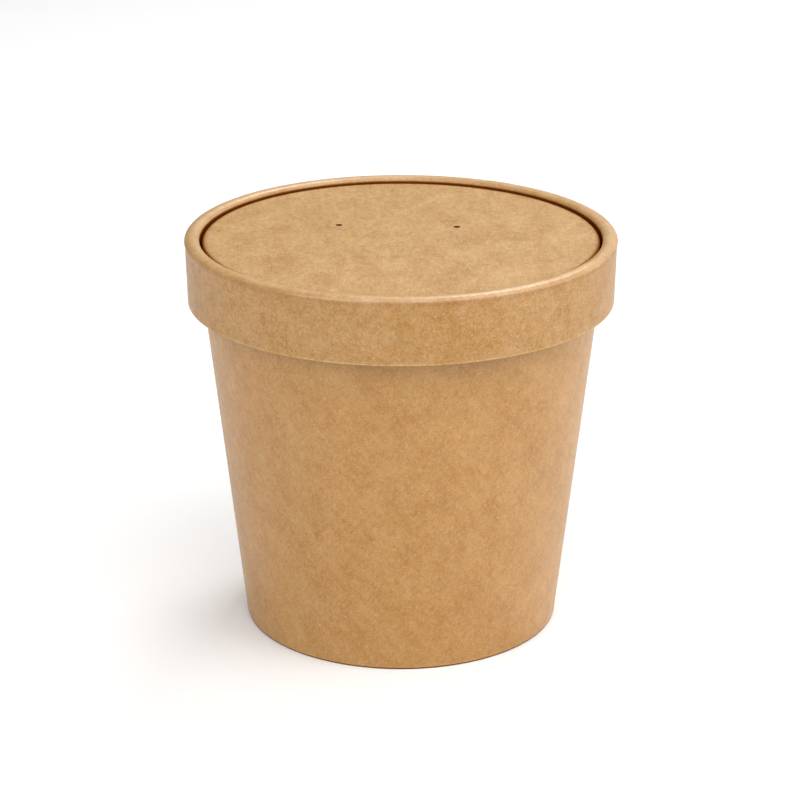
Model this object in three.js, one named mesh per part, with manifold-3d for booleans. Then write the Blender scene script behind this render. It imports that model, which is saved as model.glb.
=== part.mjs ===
// A paper takeaway soup container with its lid on: a tapered cup of brown kraft board with
// a rolled rim and a recessed base, shut by a ring-shaped skirt with a vented flat panel.
// Millimetres, +Z up. The origin is the middle of the foot, on the surface it stands on.

import * as THREE from 'three';
import { mergeVertices } from 'three/addons/utils/BufferGeometryUtils.js';
import Module from 'manifold-3d';

const wasm = await Module();
wasm.setup();

// Driving dimensions
const lidRadius = 59.0;
const totalHeight = 110.6;
const footRadius = 43.75;
const wallSlope = 0.1116;
const skirtHeight = 18.25;
const skirtTopRadius = 58.8;
const skirtBottomRadius = 58.45;
const rimWidth = 4.13;
const rimCrown = 1.4;
const beadDepth = 1.2;
const panelDrop = 1.55;
const panelRadius = 54.15;
const plugDepth = 5.0;
const ventRadius = 1.0;
const ventSpacing = 32.6;
const ventMiddle = { x: -0.9, y: 10.8 };
const ventTurn = THREE.MathUtils.degToRad(-2.9);
const baseRecess = 6.6;

// Board, folds and the gaps between touching pieces
const board = 0.45;
const gap = 0.3;
const cutRound = 0.12;
const footWidth = 1.35;
const footRound = 0.25;
const panelRound = 0.8;
const flangeLean = 0.25;
const headspaceFloor = 105.3;
const rollStart = -142;
const plugLeanAtRoll = 0.1;

// The glued overlap that runs up the cup and up the skirt
const seamWidth = 7.0;
const seamEdge = 0.2;
const seamRamp = 1.8;
const cupSeamTurn = THREE.MathUtils.degToRad(20.0);
const lidSeamTurn = THREE.MathUtils.degToRad(-30.0);

// Facets
const columns = 96;
const ventFacets = 20;

// Heights and radii that follow from the sizes above
const skirtBottom = totalHeight - skirtHeight;
const rimInnerRadius = lidRadius - rimWidth;
const rimMiddle = lidRadius - rimWidth / 2;
const rimShoulder = totalHeight - rimCrown;
const beadUnderside = rimShoulder - beadDepth;
const plugBottom = totalHeight - plugDepth;
const panelTop = totalHeight - panelDrop;
const plugLean = wallSlope * (rimShoulder - plugBottom);
const cupMouthRadius = rimInnerRadius - plugLeanAtRoll + board + gap;
const rollTop = totalHeight - board - gap;
const rollOuter = skirtTopRadius - board - gap;
const rollRadius = (rollOuter - cupMouthRadius) / 2;
const rollCentre = { r: cupMouthRadius + rollRadius, z: rollTop - rollRadius };

function wallRadius(z) {
  return footRadius + wallSlope * z;
}

// A profile point: r from the axis, z up, and how much of the seam's step it takes
function at(r, z, step = 0) {
  return { r, z, step };
}

// Points on an elliptical arc about (r, z), from one angle to another in degrees,
// where 0 points outward and 90 points up
function arc(centre, radiusR, radiusZ, from, to, steps, stepAt = () => 0) {
  const points = [];
  for (let i = 0; i <= steps; i += 1) {
    const angle = THREE.MathUtils.degToRad(from + ((to - from) * i) / steps);
    const r = centre.r + radiusR * Math.cos(angle);
    const z = centre.z + radiusZ * Math.sin(angle);
    points.push(at(r, z, stepAt(i / steps)));
  }
  return points;
}

// Where the columns of facets near the overlap lie, in mm along the surface, and whether
// they are on the raised board. The sharp cut edge is on one side, a soft ramp on the other.
const seamColumns = [
  { place: -seamWidth / 2 - seamEdge, raised: 0 },
  { place: -seamWidth / 2, raised: 1 },
  { place: 0, raised: 1 },
  { place: seamWidth / 2, raised: 1 },
  { place: seamWidth / 2 + seamRamp, raised: 0 },
];

// Turns a profile about +Z. Points that ask for the seam's step are lifted on the overlap,
// which lies at the back, turned from +Y by seamTurn.
function turned(profile, seamTurn = 0) {
  const outline = profile.map((point) => new THREE.Vector2(point.r, point.z));
  const geometry = new THREE.LatheGeometry(outline, columns);
  const position = geometry.getAttribute('position');
  const firstSeamColumn = columns / 2 - 2;
  for (let column = 0; column <= columns; column += 1) {
    const seam = seamTurn === 0 ? undefined : seamColumns[column - firstSeamColumn];
    const plainAngle = ((column % columns) * 2 * Math.PI) / columns;
    profile.forEach((point, row) => {
      const onAxis = point.r === 0;
      const angle = seam && !onAxis ? Math.PI + seam.place / point.r : plainAngle;
      const radius = point.r + (seam ? seam.raised * point.step * board : 0);
      const index = column * profile.length + row;
      position.setXYZ(index, radius * Math.sin(angle), point.z, radius * Math.cos(angle));
    });
  }
  geometry.rotateX(Math.PI / 2);
  geometry.rotateZ(seamTurn);
  return geometry;
}

function bareMesh(geometry) {
  const bare = geometry.clone();
  bare.deleteAttribute('normal');
  bare.deleteAttribute('uv');
  return mergeVertices(bare, 1e-4);
}

function toSolid(geometry) {
  const merged = bareMesh(geometry);
  return new wasm.Manifold(new wasm.Mesh({
    numProp: 3,
    vertProperties: new Float32Array(merged.getAttribute('position').array),
    triVerts: new Uint32Array(merged.getIndex().array),
  }));
}

function toGeometry(solid) {
  const mesh = solid.getMesh();
  const geometry = new THREE.BufferGeometry();
  geometry.setAttribute('position', new THREE.BufferAttribute(mesh.vertProperties, 3));
  geometry.setIndex(new THREE.BufferAttribute(mesh.triVerts, 1));
  geometry.computeVertexNormals();
  return geometry;
}

// The shut cup: solid up to just under the lid's panel, with the board's own foot ring and
// recessed base below and its outward-rolled rim above
function cupGeometry() {
  const recessRadius = footRadius - footWidth;
  const recessTop = baseRecess + board + gap;
  const mouthFloorRadius = cupMouthRadius - wallSlope * (rollCentre.z - headspaceFloor);
  const rollFoot = rollCentre.z + rollRadius * Math.sin(THREE.MathUtils.degToRad(rollStart));
  return turned([
    at(0, recessTop),
    at(recessRadius, recessTop),
    at(recessRadius, footRound),
    at(recessRadius + footRound, 0),
    at(footRadius - footRound, 0),
    at(footRadius, footRound, 1),
    at(wallRadius(rollFoot), rollFoot, 1),
    ...arc(rollCentre, rollRadius, rollRadius, rollStart, 180, 10).slice(1),
    at(mouthFloorRadius, headspaceFloor),
    at(0, headspaceFloor),
  ], cupSeamTurn);
}

// The flat disc that closes the cup from below, set up inside the foot ring
function cupBaseGeometry() {
  const radius = footRadius - footWidth - gap;
  const top = baseRecess + board;
  return turned([
    at(0, baseRecess),
    at(radius - cutRound, baseRecess),
    at(radius, baseRecess + cutRound),
    at(radius, top),
    at(0, top),
  ]);
}

// The lid's ring: an upside-down channel of board, with the long skirt outside, a crowned
// rim on top and a short plug wall inside the cup's mouth
function lidSkirtGeometry() {
  const crown = { r: rimMiddle, z: rimShoulder };
  const innerTop = totalHeight - board;
  const underCrown = { r: rimMiddle, z: rimShoulder - board };
  const underWidth = rimWidth / 2 - board;
  const crownSteps = 7;
  const pastCrown = 90 + 90 / crownSteps;
  const fade = (part) => 1 - part;
  return turned([
    at(skirtBottomRadius - board + cutRound, skirtBottom),
    at(skirtBottomRadius - cutRound, skirtBottom, 1),
    at(skirtBottomRadius, skirtBottom + cutRound, 1),
    at(skirtTopRadius, beadUnderside, 1),
    ...arc(crown, rimWidth / 2, rimCrown, 0, 90, crownSteps, fade),
    ...arc(crown, rimWidth / 2, rimCrown, pastCrown, 180, crownSteps - 1),
    at(rimInnerRadius - plugLean, plugBottom),
    at(rimInnerRadius - plugLean + board, plugBottom),
    ...arc(underCrown, underWidth, innerTop - underCrown.z, 180, 0, 6),
    at(skirtTopRadius - board, beadUnderside),
    at(skirtBottomRadius - board, skirtBottom + cutRound),
    at(skirtBottomRadius - board + cutRound, skirtBottom),
  ], lidSeamTurn);
}

// One vent: an upright pin through the panel, to be cut out of it
function ventPin(side) {
  const length = panelDrop + plugDepth;
  const pin = new THREE.CylinderGeometry(ventRadius, ventRadius, length, ventFacets);
  pin.rotateX(Math.PI / 2);
  const offset = new THREE.Vector2((side * ventSpacing) / 2, 0);
  offset.rotateAround(new THREE.Vector2(0, 0), ventTurn);
  pin.translate(ventMiddle.x + offset.x, ventMiddle.y + offset.y, panelTop);
  return pin;
}

// The lid's panel: a flat disc whose edge turns down into the crevice beside the rim
function lidPanelGeometry() {
  const shoulder = { r: panelRadius - panelRound, z: panelTop - panelRound };
  const inside = { r: shoulder.r, z: shoulder.z };
  const insideRound = panelRound - board;
  const disc = turned([
    at(0, panelTop - board),
    ...arc(inside, insideRound, insideRound, 90, 0, 2),
    at(panelRadius - board - flangeLean, plugBottom),
    at(panelRadius - flangeLean, plugBottom),
    ...arc(shoulder, panelRound, panelRound, 0, 90, 4),
    at(0, panelTop),
  ]);
  let solid = toSolid(disc);
  for (const side of [-1, 1]) {
    solid = solid.subtract(toSolid(ventPin(side)));
  }
  return toGeometry(solid);
}

// Brown kraft board, a little lighter where the lid's panel faces up
const kraftOutside = new THREE.MeshStandardMaterial({ color: '#b98d58', roughness: 0.72, metalness: 0 });
const kraftLid = new THREE.MeshStandardMaterial({ color: '#bd925d', roughness: 0.7, metalness: 0 });
const kraftPanel = new THREE.MeshStandardMaterial({ color: '#c0955f', roughness: 0.74, metalness: 0 });
const kraftBase = new THREE.MeshStandardMaterial({ color: '#b58955', roughness: 0.76, metalness: 0 });

function piece(name, geometry, material) {
  const mesh = new THREE.Mesh(geometry, material);
  mesh.name = name;
  return mesh;
}

const container = new THREE.Group();
container.name = 'takeaway_soup_container';
container.add(piece('cup', cupGeometry(), kraftOutside));
container.add(piece('cup_base', cupBaseGeometry(), kraftBase));
container.add(piece('lid_skirt', lidSkirtGeometry(), kraftLid));
container.add(piece('lid_panel', lidPanelGeometry(), kraftPanel));

export default container;
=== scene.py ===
# The looks of a brown kraft soup container with its paper lid on. Metres, +Z up, the
# container standing on the floor at the origin, its front towards -Y.

import math

import bmesh
import bpy
import numpy as np
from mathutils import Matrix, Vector


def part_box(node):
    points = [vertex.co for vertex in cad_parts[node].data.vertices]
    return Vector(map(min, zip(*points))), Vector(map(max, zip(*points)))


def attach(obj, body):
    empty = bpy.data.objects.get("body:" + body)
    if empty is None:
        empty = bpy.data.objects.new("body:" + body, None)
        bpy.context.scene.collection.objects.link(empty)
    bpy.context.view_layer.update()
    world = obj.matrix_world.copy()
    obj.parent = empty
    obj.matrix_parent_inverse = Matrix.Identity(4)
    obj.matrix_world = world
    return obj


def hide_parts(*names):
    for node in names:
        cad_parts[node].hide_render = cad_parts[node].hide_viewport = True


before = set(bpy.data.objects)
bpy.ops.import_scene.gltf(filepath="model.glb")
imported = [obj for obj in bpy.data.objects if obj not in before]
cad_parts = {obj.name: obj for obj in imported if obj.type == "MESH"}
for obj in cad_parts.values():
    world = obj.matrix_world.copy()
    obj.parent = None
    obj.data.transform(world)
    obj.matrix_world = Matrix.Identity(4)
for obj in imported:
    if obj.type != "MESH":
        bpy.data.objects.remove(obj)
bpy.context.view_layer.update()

MM = 0.001

# Sizes from the frame
skirt_low, skirt_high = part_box("lid_skirt")
lid_radius = skirt_high.x
total_height = skirt_high.z
skirt_bottom = skirt_low.z
panel_low, panel_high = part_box("lid_panel")
panel_radius = panel_high.x
panel_top = panel_high.z
plug_bottom = panel_low.z
base_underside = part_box("cup_base")[0].z

# Sizes of the board and its folds
board = 0.45 * MM
clearance = 0.3 * MM
cut_round = 0.1 * MM
wall_slope = 0.1116
foot_radius = 43.75 * MM
foot_round = 0.5 * MM
fold_top = 5.6 * MM
groove_depth = 1.5 * MM
base_bend = 0.8 * MM
skirt_top_radius = 58.8 * MM
skirt_bottom_radius = 58.45 * MM
rim_width = 4.13 * MM
rim_crown = 1.4 * MM
bead_depth = 1.2 * MM
panel_round = 0.75 * MM
flange_lean = 0.25 * MM
headspace_floor = 105.3 * MM
low_wall = 1.5 * MM
roll_radius = 1.26 * MM
vent_radius = 1.0 * MM
vent_spacing = 32.6 * MM
vent_middle = Vector((-0.9 * MM, 10.8 * MM))
vent_turn = math.radians(-2.9)
crown_low = total_height - 1.5 * MM

# The glued overlap at the back of the cup and of the lid
seam_width = 7.0 * MM
seam_ramp = 1.8 * MM
cup_seam = math.radians(200.0)
lid_seam = math.radians(150.0)

# Camera, from the photo's perspective
camera_place = Vector((-0.29, -698.1, 321.0)) * MM
camera_target = Vector((-0.29, 0.0, 61.73)) * MM
camera_lens = 120.34
camera_sensor = 36.0


def arc(r, z, radius_r, radius_z, start, end, steps):
    """Points of an elliptical arc about (r, z); 0 degrees points outward and 90 up."""
    turns = np.radians(np.linspace(start, end, steps + 1))
    return [(r + radius_r * math.cos(t), z + radius_z * math.sin(t)) for t in turns]


def line(start, end, steps):
    """Evenly spaced points from start to end, with both."""
    return [tuple(p) for p in np.linspace(start, end, steps + 1)]


def waves(turn, height, parts):
    """A smooth unevenness: each part is (size, waves round, waves per metre up, phase)."""
    total = np.zeros(np.broadcast(turn, height).shape)
    for size, around, up, phase in parts:
        total = total + size * np.sin(around * turn + 2 * math.pi * up * height + phase)
    return total


def step(value, start, end):
    """A smooth rise from 0 at start to 1 at end; end may be the lower one."""
    past = np.clip((value - start) / (end - start), 0, 1)
    return past * past * (3 - 2 * past)


def seam_height(place):
    """How far the overlap lifts the surface at a place across it: a cut edge, then a ramp."""
    ramp = step(place, seam_width / 2 + seam_ramp, seam_width / 2)
    return np.where(place < -seam_width / 2, 0.0, board * ramp)


def seam_places():
    """Places across the overlap, in metres, where a column of points is wanted."""
    edge = -seam_width / 2
    lead = np.linspace(edge - 3 * MM, edge - 0.02 * MM, 5)
    raised = np.linspace(edge, seam_width / 2, 9)
    ramp = np.linspace(seam_width / 2, seam_width / 2 + seam_ramp, 7)[1:]
    return np.concatenate([lead, raised, ramp])


def column_turns(r, seam, columns):
    """The turn of each column at each row: some follow the seam, the rest fill the circle."""
    places = seam_places()
    near = seam + places[None, :] / r[:, None]
    share = np.arange(1, columns)[None, :] / columns
    first = near[:, -1:]
    last = near[:, :1] + 2 * math.pi
    return np.hstack([near, first + (last - first) * share])


def wrapped(x, y, turn, length):
    """Board wrapped round: along the circle and along the outline."""
    return turn * lid_radius, length


def fanned(x, y, turn, length):
    """The cup's blank laid flat: an arc of board about the cone's far-off point."""
    slant = math.hypot(1, wall_slope)
    reach = foot_radius / wall_slope * slant + length
    bend = turn * wall_slope / slant
    return reach * np.sin(bend), reach * np.cos(bend)


def planar(x, y, turn, length):
    """Board seen from above."""
    return x, y


def corners_of(grid):
    """The four corners of every face between neighbouring rows and columns."""
    corners = (grid[:-1, :-1], grid[:-1, 1:], grid[1:, 1:], grid[1:, :-1])
    return np.stack(corners, axis=2).reshape(-1, 4, *grid.shape[2:])


def revolve(name, outline, seam, columns, closed, lift, flat, wear_and_painted_light):
    """A mesh turned about +Z from an outline of (r, z) points. An outline that isn't closed
    starts and ends on the axis. lift(turn, z, row, seam) says how far a point moves outward
    and up, flat(x, y, turn, length) gives its place on the flat board, for the UV map, and
    the last function, given r and z, how much deeper (above 0) or paler (below 0) the colour is
    there, by real rubbing and cut edges and by painted shade and highlight."""
    points = np.array(outline + outline[:1] if closed else outline)
    rows = len(points)
    steps = np.hypot(*np.diff(points, axis=0).T)
    length = np.concatenate([[0.0], np.cumsum(steps)])[:, None]
    turn = column_turns(np.maximum(points[:, 0], 20 * MM), seam, columns)
    turn = np.hstack([turn, turn[:, :1] + 2 * math.pi])
    row = np.arange(rows)[:, None] % len(outline)
    z = np.broadcast_to(points[:, 1:], turn.shape)
    outward, upward = lift(turn, z, row, seam)
    r = np.maximum(points[:, :1] + outward, 1e-6)
    x, y, z = np.broadcast_arrays(r * np.sin(turn), -r * np.cos(turn), z + upward)
    u, v = np.broadcast_arrays(*flat(x, y, turn, length + 0 * turn))
    index = np.arange(x.size).reshape(x.shape)
    index[:, -1] = index[:, 0]
    if closed:
        index[-1] = index[0]
    mesh = bpy.data.meshes.new(name)
    vertices = np.stack([x, y, z], axis=2).reshape(-1, 3)
    mesh.from_pydata(vertices.tolist(), [], corners_of(index).tolist())
    tone_layer = mesh.attributes.new("wear_and_painted_light", "FLOAT", "POINT")
    depth = np.broadcast_to(wear_and_painted_light(points[:, :1], points[:, 1:]), turn.shape)
    tone_layer.data.foreach_set("value", depth.astype(np.float32).ravel())
    layer = mesh.uv_layers.new(name="board")
    layer.data.foreach_set("uv", corners_of(np.stack([u, v], axis=2)).astype(np.float32).ravel())
    mesh.polygons.foreach_set("use_smooth", [True] * len(mesh.polygons))
    tidy_mesh(mesh)
    obj = bpy.data.objects.new(name, mesh)
    bpy.context.scene.collection.objects.link(obj)
    return obj


def tidy_mesh(mesh):
    """Merges what meets on the axis, drops loose points and turns every face outward."""
    work = bmesh.new()
    work.from_mesh(mesh)
    loose = [v for v in work.verts if not v.link_faces]
    bmesh.ops.delete(work, geom=loose, context="VERTS")
    on_axis = [v for v in work.verts if math.hypot(v.co.x, v.co.y) < 5e-6]
    for level in {round(v.co.z, 7) for v in on_axis}:
        ring = [v for v in on_axis if v.is_valid and round(v.co.z, 7) == level]
        bmesh.ops.pointmerge(work, verts=ring, merge_co=(0, 0, level))
    bmesh.ops.dissolve_degenerate(work, edges=work.edges, dist=1e-8)
    bmesh.ops.recalc_face_normals(work, faces=work.faces)
    work.to_mesh(mesh)
    work.free()


def cup_outline():
    """The cup, from the recess over the foot, up the wall, round the rim and down inside."""
    inner = foot_radius - 3 * board
    groove_in = inner + board
    groove_out = foot_radius - board
    recess_top = base_underside + board + clearance
    groove_low = fold_top - groove_depth
    mouth = lid_radius - rim_width + board + clearance - 0.1 * MM
    roll_r = mouth + roll_radius
    roll_z = total_height - board - clearance - roll_radius
    roll_start = -142
    roll_foot = roll_z + roll_radius * math.sin(math.radians(roll_start))
    mouth_low = mouth - wall_slope * (roll_z - headspace_floor)
    inside = [
        (0, recess_top),
        (groove_out * 0.5, recess_top),
        (groove_out, recess_top),
        (groove_out, groove_low),
        (groove_in, groove_low),
        (groove_in, fold_top - cut_round),
        (groove_in - cut_round, fold_top),
        (inner + cut_round, fold_top),
        (inner, fold_top - cut_round),
    ]
    foot = line((inner, fold_top - 2 * cut_round), (inner, foot_round), 4)
    foot += arc(inner + foot_round, foot_round, foot_round, foot_round, 180, 270, 6)[1:]
    outer_turn = foot_radius - foot_round
    foot += arc(outer_turn, foot_round, foot_round, foot_round, -90, 0, 6)
    wall_foot = foot_radius + wall_slope * foot_round
    wall_head = foot_radius + wall_slope * roll_foot
    low_turn = (foot_radius + wall_slope * low_wall, low_wall)
    wall = line((wall_foot, foot_round), low_turn, 8)[1:]
    wall += line(low_turn, (wall_head, roll_foot), 54)[1:]
    roll = arc(roll_r, roll_z, roll_radius, roll_radius, roll_start, 180, 30)[1:]
    mouth_side = line((mouth, roll_z), (mouth_low, headspace_floor), 3)[1:]
    floor = [(mouth_low * 0.5, headspace_floor), (0, headspace_floor)]
    outline = inside + foot + wall + roll + mouth_side + floor
    first_wall = len(inside) + len(foot) - 1
    return outline, first_wall, first_wall + len(wall)


def cup_lift(first_wall, last_wall):
    """The overlap's step and the wall's slight waviness, on the wall's rows alone."""
    ripples = [
        (0.030 * MM, 3, 4, 0.4),
        (0.022 * MM, 7, 6, 1.9),
        (0.014 * MM, 17, 3, 4.1),
        (0.009 * MM, 31, -5, 2.2),
        (0.006 * MM, 53, 2, 5.3),
    ]

    def lift(turn, z, row, seam):
        r = foot_radius + wall_slope * z
        place = (turn - seam + math.pi) % (2 * math.pi) - math.pi
        overlap = seam_height(place * r)
        on_wall = (row >= first_wall) & (row <= last_wall)
        ends = np.clip(np.minimum(row - first_wall, last_wall - row) / 3, 0, 1)
        wavy = waves(turn, z, ripples) * ends
        return np.where(on_wall, overlap + wavy, 0.0), 0.0

    return lift


def cup_wear_and_painted_shade(r, z):
    """Painted shade: darker on the foot's outer bend where it meets the floor, inside the foot's
    recess and on the cup's top inside, under the lid. Paler just over the fold.
    """
    # painted shade: the dark contact line where the foot meets the floor
    fold = step(z, 0.55 * MM, 0.35 * MM) * step(r, foot_radius - 0.5 * MM, foot_radius - 0.1 * MM)
    outside = step(r, foot_radius - board, foot_radius)
    rubbed = step(z, low_wall, 0.8 * MM) * outside * (1 - fold)
    # painted shade inside the foot's recess
    inside = step(r, foot_radius - board, foot_radius - 2 * board) * step(z, 20 * MM, 10 * MM)
    # painted shade on the cup's inside under the lid, seen through the vents
    within_roll = step(r, foot_radius + 6 * MM, foot_radius + 4 * MM)
    under_lid_shade = within_roll * step(z, headspace_floor - 5 * MM, headspace_floor - MM)
    return np.maximum(1.3 * fold, 0.2 * inside) + 1.6 * under_lid_shade - 0.35 * rubbed


def make_cup():
    outline, first_wall, last_wall = cup_outline()
    lift = cup_lift(first_wall, last_wall)
    cup = revolve("cup_wall", outline, cup_seam, 360, False, lift, fanned, cup_wear_and_painted_shade)
    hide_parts("cup")
    return cup


def base_outline():
    """The base disc: its edge bends down between the wall and the wall's folded-in end."""
    flange_in = foot_radius - 2 * board + 0.02 * MM
    flange_out = foot_radius - board - 0.02 * MM
    bend_in = base_bend - board
    flange_low = fold_top - groove_depth + 0.1 * MM
    top = base_underside + board
    turn_r = flange_out - base_bend
    under = line((0, base_underside), (flange_in - bend_in, base_underside), 24)
    inner_bend = arc(flange_in - bend_in, base_underside - bend_in, bend_in, bend_in, 90, 0, 5)
    outer_bend = arc(turn_r, top - base_bend, base_bend, base_bend, 0, 90, 7)
    return (
        under
        + inner_bend[1:]
        + [(flange_in, flange_low), (flange_out, flange_low)]
        + outer_bend
        + [(turn_r * 0.5, top), (0, top)]
    )


def base_lift(turn, z, row, seam):
    """The disc bows up very slightly in broad uneven fields."""
    return 0.0, waves(turn, z, [(0.012 * MM, 2, 0, 0.7), (0.008 * MM, 5, 0, 2.6)])


def base_painted_shade(r, z):
    """Painted shade: the board is darker where it bends down into the groove beside the wall."""
    return 0.4 * step(r, foot_radius - 4 * board, foot_radius - 2.2 * board)


def make_base():
    base = revolve("cup_base_disc", base_outline(), 0.0, 200, False, base_lift, planar, base_painted_shade)
    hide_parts("cup_base")
    return base


def ring_outline():
    """The lid's ring: skirt, crowned rim, plug wall, and the same again on the inside."""
    shoulder = total_height - rim_crown
    middle = lid_radius - rim_width / 2
    inner = lid_radius - rim_width
    bead = shoulder - bead_depth
    lean = wall_slope * (shoulder - plug_bottom)
    low_in = skirt_bottom_radius - board
    edge = [
        (low_in, skirt_bottom + cut_round),
        (low_in + cut_round, skirt_bottom),
        (skirt_bottom_radius - cut_round, skirt_bottom),
        (skirt_bottom_radius, skirt_bottom + cut_round),
    ]
    skirt = [(skirt_bottom_radius, skirt_bottom + share * cut_round) for share in (2, 3, 4)]
    skirt += line((skirt_bottom_radius, skirt_bottom + 5 * cut_round), (skirt_top_radius, bead), 22)
    crown = arc(middle, shoulder, rim_width / 2, rim_crown, -6, 186, 44)
    plug = line((inner, shoulder - 0.4 * MM), (inner - lean, plug_bottom), 6)
    back = [(inner - lean + board, plug_bottom)]
    under = arc(middle, shoulder - board, rim_width / 2 - board, rim_crown, 180, 0, 14)
    down = line((skirt_top_radius - board, bead), (low_in, skirt_bottom + 2 * cut_round), 10)
    outline = edge + skirt + crown + plug + back + under + down
    return outline, len(edge), len(edge) + len(skirt) + len(crown) // 2


def ring_lift(first, last):
    """The overlap's step, fading over the crown, and the slight unevenness of a pressed rim."""
    ripples = [
        (0.045 * MM, 2, 3, 1.1),
        (0.025 * MM, 5, 8, 3.0),
        (0.012 * MM, 13, 20, 0.2),
        (0.007 * MM, 37, 60, 4.4),
        (0.005 * MM, 71, 90, 2.7),
    ]

    def lift(turn, z, row, seam):
        place = (turn - seam + math.pi) % (2 * math.pi) - math.pi
        fade = np.clip((last - row) / (last - first) * 3, 0, 1)
        overlap = seam_height(place * lid_radius) * fade
        outer = (row >= 1) & (row <= last)
        wavy = waves(turn, z, ripples) - 0.09 * MM
        on_edge = z < skirt_bottom + 3 * MM
        dip = waves(turn, 0 * z, [(0.06 * MM, 2, 0, 0.3), (0.03 * MM, 5, 0, 1.2)]) + 0.09 * MM
        return np.where(outer, overlap, 0.0) + wavy, np.where(on_edge, dip, 0.0)

    return lift


def ring_wear_and_painted_light(r, z):
    """A band darker on the crown's outer slope; painted shade down the rim's inner side, deepest in
    the crevice by the panel; a painted highlight, paler, along the ridge; and paler at the skirt's
    cut edge."""
    shoulder = total_height - rim_crown
    inner = lid_radius - rim_width
    # a darker band on the crown's outer slope, just above the skirt
    outer = step(r, lid_radius - 1.2 * MM, lid_radius - 0.6 * MM)
    below = step(z, shoulder - 0.9 * MM, shoulder + 0.1 * MM)
    slope = below * step(z, shoulder + 1.2 * MM, shoulder)
    # painted shade down the rim's inner side, deepest in the crevice beside the panel
    fold = 0.35 * step(z, total_height - 0.3 * MM, total_height - 1.6 * MM)
    depth = 1.1 * step(z, panel_top + 0.6 * MM, panel_top - 0.1 * MM)
    inside = step(r, inner + 0.6 * MM, inner) * (fold + depth)
    edge = step(z, skirt_bottom + 0.55 * MM, skirt_bottom + 0.35 * MM)
    # painted highlight: paler along the crown's ridge
    ridge = step(z, total_height - 0.8 * MM, total_height - 0.2 * MM)
    return 0.12 * slope * outer + inside - edge - 0.35 * ridge


def make_ring():
    outline, first, last = ring_outline()
    lift = ring_lift(first, last)
    ring = revolve("lid_ring", outline, lid_seam, 480, True, lift, wrapped, ring_wear_and_painted_light)
    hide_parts("lid_skirt")
    return ring


def panel_outline():
    """The lid's panel: flat, with a rounded edge turned down beside the rim."""
    turn_r = panel_radius - panel_round
    turn_z = panel_top - panel_round
    inside = panel_round - board
    top = line((0, panel_top), (turn_r, panel_top), 70)
    shoulder = arc(turn_r, turn_z, panel_round, panel_round, 90, 0, 9)[1:]
    flange = [
        (panel_radius - flange_lean, plug_bottom),
        (panel_radius - flange_lean - board, plug_bottom),
    ]
    under_turn = arc(turn_r, turn_z, inside, inside, 0, 90, 4)
    under = line((turn_r, panel_top - board), (0, panel_top - board), 40)[1:]
    return top + shoulder + flange + under_turn + under


def panel_lift(turn, z, row, seam):
    """Broad, very shallow fields where the board has taken a set."""
    parts = [(0.02 * MM, 2, 0, 0.5), (0.012 * MM, 3, 0, 2.0), (0.008 * MM, 7, 0, 4.0)]
    share = np.clip(row / 70.0, 0, 1) * np.clip((75 - row) / 10.0, 0, 1)
    return 0.0, (waves(turn, z, parts) - 0.04 * MM) * share


def panel_painted_shade(r, z):
    """Painted shade: the board is darker where the panel's edge turns down into the crevice by the
    rim.
    """
    down = step(z, panel_top - 0.1 * MM, panel_top - 0.8 * MM)
    down = down * step(r, panel_radius - 2 * MM, panel_radius - MM)
    turned = step(r, panel_radius - 1.2 * MM, panel_radius - 0.3 * MM)
    return 0.9 * down + 0.7 * turned


def vent_places():
    """The middles of the two vents."""
    along = Vector((math.cos(vent_turn), math.sin(vent_turn)))
    return [vent_middle + along * (side * vent_spacing / 2) for side in (-1, 1)]


def vent_cutter(place):
    """An upright pin where a vent is punched through the panel."""
    work = bmesh.new()
    bmesh.ops.create_cone(
        work, cap_ends=True, segments=40, radius1=vent_radius, radius2=vent_radius, depth=6 * MM
    )
    bmesh.ops.translate(work, verts=work.verts, vec=(place.x, place.y, panel_top))
    mesh = bpy.data.meshes.new("vent_cutter")
    work.to_mesh(mesh)
    work.free()
    cutter = bpy.data.objects.new("vent_cutter", mesh)
    bpy.context.scene.collection.objects.link(cutter)
    return cutter


def cut_out(obj, cutter):
    """Cuts one object out of another for good and removes the cutter."""
    cut = obj.modifiers.new("cut", "BOOLEAN")
    cut.operation = "DIFFERENCE"
    cut.solver = "EXACT"
    cut.object = cutter
    graph = bpy.context.evaluated_depsgraph_get()
    mesh = bpy.data.meshes.new_from_object(obj.evaluated_get(graph))
    obj.modifiers.remove(cut)
    obj.data = mesh
    bpy.data.objects.remove(cutter)


def refine_near(obj, places, reach):
    """Splits the faces round each vent, so that the board can dip smoothly there."""
    work = bmesh.new()
    work.from_mesh(obj.data)
    for distance in (reach, reach * 0.7):
        near = [
            e
            for e in work.edges
            if all(
                v.co.z > panel_top - board / 2
                and min((v.co.xy - p).length for p in places) < distance
                for v in e.verts
            )
        ]
        bmesh.ops.subdivide_edges(work, edges=near, cuts=1, use_grid_fill=True)
    work.to_mesh(obj.data)
    work.free()


def press_round(obj, places):
    """The board dips a little round each punched vent and is paler there."""
    tone_layer = obj.data.attributes["wear_and_painted_light"].data
    for vertex in obj.data.vertices:
        if vertex.co.z < panel_top - board / 2:
            continue
        away = min((vertex.co.xy - p).length for p in places)
        past = (away - vent_radius) / (0.45 * MM)
        share = math.exp(-past * past) if past < 4 else 0.0
        vertex.co.z -= 0.03 * MM * share
        tone_layer[vertex.index].value -= 0.5 * share


def make_panel():
    panel = revolve("lid_disc", panel_outline(), 0.0, 240, False, panel_lift, planar, panel_painted_shade)
    places = vent_places()
    refine_near(panel, places, 4.0 * MM)
    press_round(panel, places)
    for place in places:
        cut_out(panel, vent_cutter(place))
    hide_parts("lid_panel")
    return panel


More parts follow.
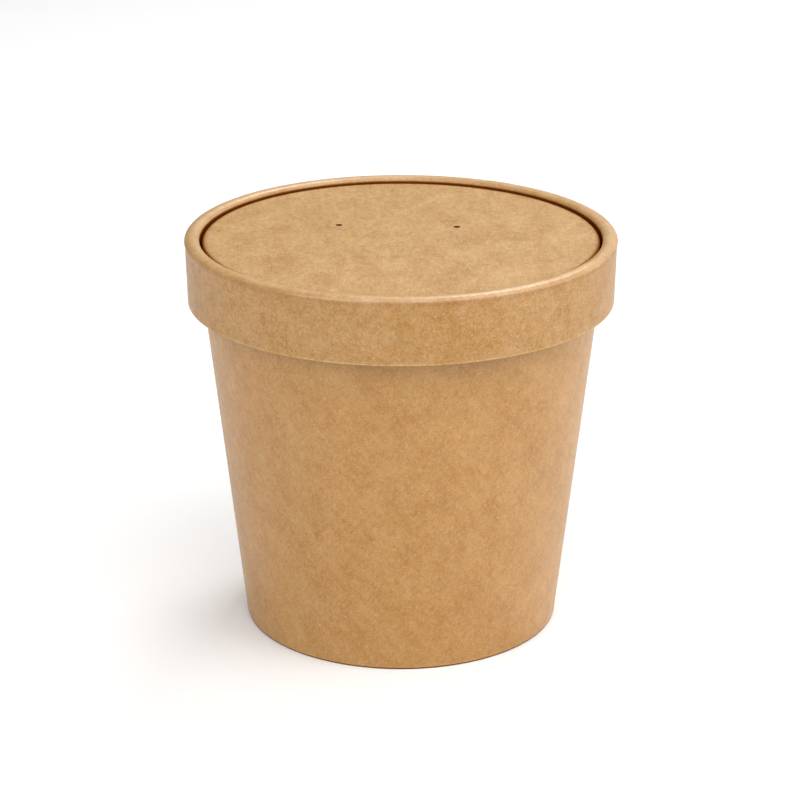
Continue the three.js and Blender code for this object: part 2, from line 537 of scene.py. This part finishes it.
class Nodes:
    """Short calls for the nodes of one material, or of the world."""

    def __init__(self, owner, shader="Principled BSDF"):
        owner.use_nodes = True
        self.tree = owner.node_tree
        self.shader = self.tree.nodes[shader]

    def add(self, kind, **settings):
        node = self.tree.nodes.new(kind)
        for key, value in settings.items():
            setattr(node, key, value)
        return node

    def set(self, node, name, value):
        if isinstance(value, bpy.types.NodeSocket):
            self.tree.links.new(value, node.inputs[name])
        else:
            node.inputs[name].default_value = value

    def place(self, shift, stretch=(1, 1), turn=0.0):
        """Places on the flat board in millimetres: shifted, turned, then stretched out."""
        board_map = self.add("ShaderNodeUVMap", uv_map="board")
        mapping = self.add("ShaderNodeMapping", vector_type="TEXTURE")
        self.set(mapping, "Vector", board_map.outputs[0])
        self.set(mapping, "Scale", (stretch[0] * MM, stretch[1] * MM, MM))
        self.set(mapping, "Rotation", (0, 0, turn))
        self.set(mapping, "Location", (shift[0] * MM, shift[1] * MM, 0))
        return mapping.outputs[0]

    def noise(self, vector, scale, detail=2.0, rough=0.5, warp=0.0):
        node = self.add("ShaderNodeTexNoise")
        self.set(node, "Vector", vector)
        self.set(node, "Scale", scale)
        self.set(node, "Detail", detail)
        self.set(node, "Roughness", rough)
        self.set(node, "Distortion", warp)
        return node.outputs[0]

    def range(self, value, low, high, to_low=0.0, to_high=1.0, smooth=True):
        kind = "SMOOTHSTEP" if smooth else "LINEAR"
        node = self.add("ShaderNodeMapRange", interpolation_type=kind)
        self.set(node, "Value", value)
        self.set(node, "From Min", low)
        self.set(node, "From Max", high)
        self.set(node, "To Min", to_low)
        self.set(node, "To Max", to_high)
        return node.outputs[0]

    def math(self, operation, first, second=0.0):
        node = self.add("ShaderNodeMath", operation=operation)
        self.set(node, 0, first)
        self.set(node, 1, second)
        return node.outputs[0]

    def mix(self, factor, first, second, blend="MIX"):
        node = self.add("ShaderNodeMix", data_type="RGBA", blend_type=blend)
        self.set(node, 0, factor)
        self.set(node, 6, first)
        self.set(node, 7, second)
        return node.outputs[2]


# How much red, green and blue fall as the pulp gets deeper
tone_shares = (0.48, 0.8, 2.3)


def tone(colour, depth):
    """A colour as the pulp shows it: deeper above 0 and paler below, blue changing most."""
    return tuple(c * math.exp(-depth * share) for c, share in zip(colour, tone_shares)) + (1.0,)


def mottle(nodes, shift, layers):
    """Cloudy pulp about zero; each layer is (features per mm, strength, stretch)."""
    total = 0.0
    for scale, strength, stretch in layers:
        layer = nodes.noise(nodes.place(shift, stretch), scale, 1.0)
        part = nodes.math("MULTIPLY", nodes.math("SUBTRACT", layer, 0.5), strength)
        total = nodes.math("ADD", part, total)
    return total


def fibres(nodes, shift, turn, scale, thin):
    """Short thin lines of one slant: the ridge of a noise, broken up by another."""
    lines = nodes.noise(nodes.place(shift, (1, 3.5), turn), scale, 2.0, 0.5, 0.4)
    ridge = nodes.math("ABSOLUTE", nodes.math("SUBTRACT", lines, 0.5))
    line_mask = nodes.range(ridge, 0.0, thin, 1.0, 0.0)
    broken = nodes.range(nodes.noise(nodes.place(shift), scale * 0.8), 0.52, 0.62)
    return nodes.math("MULTIPLY", line_mask, broken)


def flecks(nodes, shift):
    """Sparse specks of bark, each a short dash: some cells of a Voronoi have one."""
    spots = nodes.add("ShaderNodeTexVoronoi", feature="F1")
    nodes.set(spots, "Vector", nodes.place(shift, (1, 1.9), 0.7))
    nodes.set(spots, "Scale", 0.42)
    size = nodes.range(spots.outputs["Color"], 0.80, 0.97, 0.0, 0.12, False)
    return nodes.math("LESS_THAN", spots.outputs["Distance"], size)


def pulp_colour(nodes, colour, layers, shift, fibre_share):
    """The open board's colour: cloudy pulp, a drifting hue, pale and deep fibres, and flecks."""
    cloud = nodes.range(mottle(nodes, shift, layers), -1, 1, smooth=False)
    base = nodes.mix(cloud, tone(colour, 0.5), tone(colour, -0.5))
    drift = nodes.noise(nodes.place((shift[1], shift[0])), 0.30, 1.0)
    hue = nodes.mix(nodes.range(drift, 0.32, 0.68), ruddy, cool)
    base = nodes.mix(1.0, base, hue, "MULTIPLY")
    # Each kind is its depth of tone, then (turn, features per mm, thinness) of two slants
    strands = [
        (-0.6, [(0.5, 0.9, 0.03), (-0.9, 1.1, 0.03)]),
        (0.5, [(1.9, 0.8, 0.025), (0.1, 1.0, 0.025)]),
    ]
    for depth, slants in strands:
        first, second = [fibres(nodes, shift, *slant) for slant in slants]
        share = nodes.math("MULTIPLY", nodes.math("ADD", first, second), fibre_share)
        base = nodes.mix(share, base, tone(colour, depth))
    bark = nodes.math("MULTIPLY", flecks(nodes, shift), 0.45)
    return nodes.mix(bark, base, tone(colour, 1.1))


def worn_and_painted_light_colour(nodes, base, wear_and_painted_light, pressed):
    """The colour made deeper (mostly painted shade) or paler (cut edges, rubbing and a painted
    highlight) by the tone attribute, and where it is pressed.
    """
    for low in (0, 0.5, 1):
        deeper = nodes.range(wear_and_painted_light, low, low + 0.5, smooth=False)
        base = nodes.mix(deeper, base, deeper_and_painted_shade_tint, "MULTIPLY")
    paler = nodes.range(wear_and_painted_light, 0, -1, smooth=False)
    base = nodes.mix(paler, base, paler_and_painted_highlight_tint, "MULTIPLY")
    return nodes.mix(pressed, base, pressed_tint, "MULTIPLY")


def roughen(nodes, shift, rough):
    """An uneven roughness about the given one, and the board's fine tooth as a bump."""
    patches = nodes.noise(nodes.place(shift), 0.5, 3.0, 0.6)
    grain = nodes.range(patches, 0.3, 0.7, rough - 0.05, rough + 0.06, False)
    nodes.set(nodes.shader, "Roughness", grain)
    tooth = nodes.math("MULTIPLY", nodes.noise(nodes.place(shift), 2.2, 3.0, 0.65), 0.6)
    relief = nodes.math("ADD", tooth, nodes.math("MULTIPLY", patches, 1.4))
    bump = nodes.add("ShaderNodeBump")
    nodes.set(bump, "Height", relief)
    nodes.set(bump, "Strength", 0.22)
    nodes.set(bump, "Distance", 0.06 * MM)
    nodes.set(nodes.shader, "Normal", bump.outputs[0])


def kraft(name, colour, layers, shift, rough, gloss=0.45, crown_polish=0.0):
    """Brown kraft board. Where the lid's crown is pressed it is glossier and has fewer
    fibres, by crown_polish, and where the colour is made deeper, mostly painted shade in crevices
    and recesses, it has no gloss."""
    material = bpy.data.materials.new(name)
    nodes = Nodes(material)
    height = nodes.add("ShaderNodeSeparateXYZ")
    nodes.set(height, 0, nodes.add("ShaderNodeTexCoord").outputs["Object"])
    crown_top = crown_low + 0.8 * MM
    pressed = nodes.range(height.outputs["Z"], crown_low, crown_top, 0.0, crown_polish)
    fibre_share = nodes.math("SUBTRACT", 0.75, nodes.math("MULTIPLY", pressed, 0.6))
    wear_and_painted_light = nodes.add("ShaderNodeAttribute", attribute_name="wear_and_painted_light").outputs["Fac"]
    base = pulp_colour(nodes, colour, layers, shift, fibre_share)
    nodes.set(nodes.shader, "Base Color", worn_and_painted_light_colour(nodes, base, wear_and_painted_light, pressed))
    shine = nodes.math("ADD", nodes.math("MULTIPLY", pressed, 0.6), gloss)
    open_share = nodes.range(wear_and_painted_light, 0.05, 0.7, 1.0, 0.0)
    nodes.set(nodes.shader, "Specular IOR Level", nodes.math("MULTIPLY", shine, open_share))
    roughen(nodes, shift, rough)
    return material


def cut_board(name, colour):
    """A fibrous cut edge of the board, a little paler than the colour given."""
    material = bpy.data.materials.new(name)
    nodes = Nodes(material)
    torn = nodes.noise(nodes.place((0, 0)), 3.0, 3.0, 0.7)
    base = nodes.mix(nodes.range(torn, 0.3, 0.7), tone(colour, 0.1), tone(colour, -0.5))
    nodes.set(nodes.shader, "Base Color", base)
    nodes.set(nodes.shader, "Roughness", 0.8)
    return material


def paper(piece, face, edge=None, is_edge=None):
    """Gives a piece its board and, on the faces that is_edge picks, the cut edge."""
    piece.data.materials.clear()
    piece.data.materials.append(face)
    if edge is None:
        return
    piece.data.materials.append(edge)
    for polygon in piece.data.polygons:
        polygon.material_index = 1 if is_edge(polygon) else 0


# The boards' mean colours, linear
cup_colour = (0.362, 0.175, 0.0275)
ring_colour = (0.354, 0.186, 0.040)
panel_colour = (0.354, 0.187, 0.034)

# What the board's colour is multiplied by: drifting hues, places made deeper (mostly painted shade)
# or paler (cut edges, rubbing and a painted highlight), and the pressed crown
ruddy = (1.02, 0.98, 0.92, 1)
cool = (1.0, 1.0, 1.04, 1)
deeper_and_painted_shade_tint = (0.64, 0.46, 0.26, 1)
paler_and_painted_highlight_tint = (1.2, 1.35, 1.55, 1)
pressed_tint = (0.98, 0.97, 0.87, 1)

# Layers of the boards' mottling: features per mm, strength, stretch across and along
even = (1, 1)
pulp = [(0.13, 1.0, even), (0.33, 1.0, even), (0.8, 1.4, even), (1.9, 1.8, even)]
cup_pulp = pulp + [(0.07, 0.8, (1, 8)), (0.5, 0.7, (1, 5))]
ring_pulp = pulp + [(0.05, 1.0, even), (0.4, 0.8, (1, 1.6)), (1.1, 0.7, even)]
deep_way = (1, 2.6)
panel_pulp = [(scale, strength * 1.25, deep_way) for scale, strength, _ in pulp]
panel_pulp += [(0.07, 1.0, even), (0.22, 0.6, even), (1.4, 1.0, deep_way)]


def on_skirt_edge(polygon):
    """The cut edge at the bottom of the lid's skirt."""
    return polygon.center.z < skirt_bottom + 0.2 * MM and polygon.center.xy.length > 56 * MM


def on_fold_edge(polygon):
    """The cut edge of the board that is folded in at the cup's foot."""
    return abs(polygon.center.z - fold_top) < cut_round and polygon.center.xy.length < 43 * MM


def on_vent_edge(polygon):
    """The punched side of a vent."""
    near = min((polygon.center.xy - p).length for p in vent_places())
    return near < vent_radius * 1.02 and abs(polygon.normal.z) < 0.5


def dress(pieces):
    """Every piece's materials."""
    edge = cut_board("kraft_cut_edge", ring_colour)
    # The vents' punched sides take a colour two steps deeper in tone: painted shade inside the
    # holes.
    vent_painted_shade = cut_board("kraft_vent_painted_shade", tone(ring_colour, 2.0)[:3])
    cup = kraft("kraft_cup", cup_colour, cup_pulp, (11, 5), 0.40, 0.6)
    base = kraft("kraft_base", cup_colour, pulp, (-31, 47), 0.42)
    ring = kraft("kraft_ring", ring_colour, ring_pulp, (73, -20), 0.42, 0.32, 1.0)
    panel = kraft("kraft_panel", panel_colour, panel_pulp, (3, 91), 0.42)
    paper(pieces["cup"], cup, edge, on_fold_edge)
    paper(pieces["base"], base)
    paper(pieces["ring"], ring, edge, on_skirt_edge)
    paper(pieces["panel"], panel, vent_painted_shade, on_vent_edge)


def make_floor():
    """A plain white floor."""
    mesh = bpy.data.meshes.new("floor")
    reach = 4.0
    corners = [(-reach, -reach, 0), (reach, -reach, 0), (reach, reach, 0), (-reach, reach, 0)]
    mesh.from_pydata(corners, [], [(0, 1, 2, 3)])
    floor = bpy.data.objects.new("floor", mesh)
    bpy.context.scene.collection.objects.link(floor)
    material = bpy.data.materials.new("floor_white")
    material.use_nodes = True
    shader = material.node_tree.nodes["Principled BSDF"]
    shader.inputs["Base Color"].default_value = (0.84, 0.84, 0.84, 1)
    shader.inputs["Roughness"].default_value = 0.9
    shader.inputs["Specular IOR Level"].default_value = 0.0
    mesh.materials.append(material)


def aim(obj, place, target):
    obj.location = place
    obj.rotation_euler = (Vector(target) - Vector(place)).to_track_quat("-Z", "Y").to_euler()


def make_light(name, azimuth, elevation, distance, size, power):
    """A square soft light, aimed at the container. Azimuth 0 is in front, 90 to the right."""
    light = bpy.data.lights.new(name, "AREA")
    light.shape = "SQUARE"
    light.size = size
    light.energy = power
    obj = bpy.data.objects.new(name, light)
    bpy.context.scene.collection.objects.link(obj)
    a, e = math.radians(azimuth), math.radians(elevation)
    toward = Vector((math.sin(a) * math.cos(e), -math.cos(a) * math.cos(e), math.sin(e)))
    target = Vector((0, 0, total_height / 2))
    aim(obj, target + toward * distance, target)


def make_lights():
    """Azimuth, elevation, distance, size and power of each."""
    make_light("key_back_right", 155, 55, 1.3, 0.5, 8.0)
    make_light("near_right", 60, 45, 0.4, 0.25, 0.62)
    make_light("overhead_front", 18, 69, 0.9, 0.6, 2.6)
    make_light("fill_front_left", -40, 31, 1.2, 0.8, 6.5)
    make_light("back_left", -150, 55, 1.3, 0.6, 0.8)
    make_light("back_low", 180, 30, 1.3, 0.6, 0.9)


def make_world():
    """A dim studio, brighter high up in front and near the horizon at the sides. Each part
    is (way, its end, strength near the horizon, strength high up)."""
    world = bpy.data.worlds.new("studio")
    bpy.context.scene.world = world
    nodes = Nodes(world, "Background")
    axes = nodes.add("ShaderNodeSeparateXYZ")
    nodes.set(axes, 0, nodes.add("ShaderNodeTexCoord").outputs["Generated"])
    x, y, z = axes.outputs
    across = nodes.math("SQRT", nodes.math("SUBTRACT", 1.0, nodes.math("POWER", z, 2.0)))
    strength = 0.1
    for way, end, low, high in ((y, -1, 0.0, 0.85), (x, 1, 2.4, 0.0), (x, -1, 0.5, 0.0)):
        toward = nodes.range(nodes.math("DIVIDE", way, across), 0, end, smooth=False)
        part = nodes.math("MULTIPLY", toward, nodes.range(z, 0.3, 0.55, low, high))
        strength = nodes.math("ADD", part, strength)
    nodes.set(nodes.shader, "Color", (1, 1, 1, 1))
    nodes.set(nodes.shader, "Strength", strength)


def make_camera():
    """The camera that the photo was taken with, as fitted to its outlines."""
    data = bpy.data.cameras.new("camera")
    data.lens = camera_lens
    data.sensor_width = camera_sensor
    camera = bpy.data.objects.new("camera", data)
    bpy.context.scene.collection.objects.link(camera)
    aim(camera, camera_place, camera_target)
    bpy.context.scene.camera = camera


bpy.context.scene.view_settings.view_transform = "Standard"
make_camera()
parts = {"cup": make_cup(), "base": make_base(), "ring": make_ring(), "panel": make_panel()}
dress(parts)
for part in parts.values():
    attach(part, "root")
make_floor()
make_lights()
make_world()
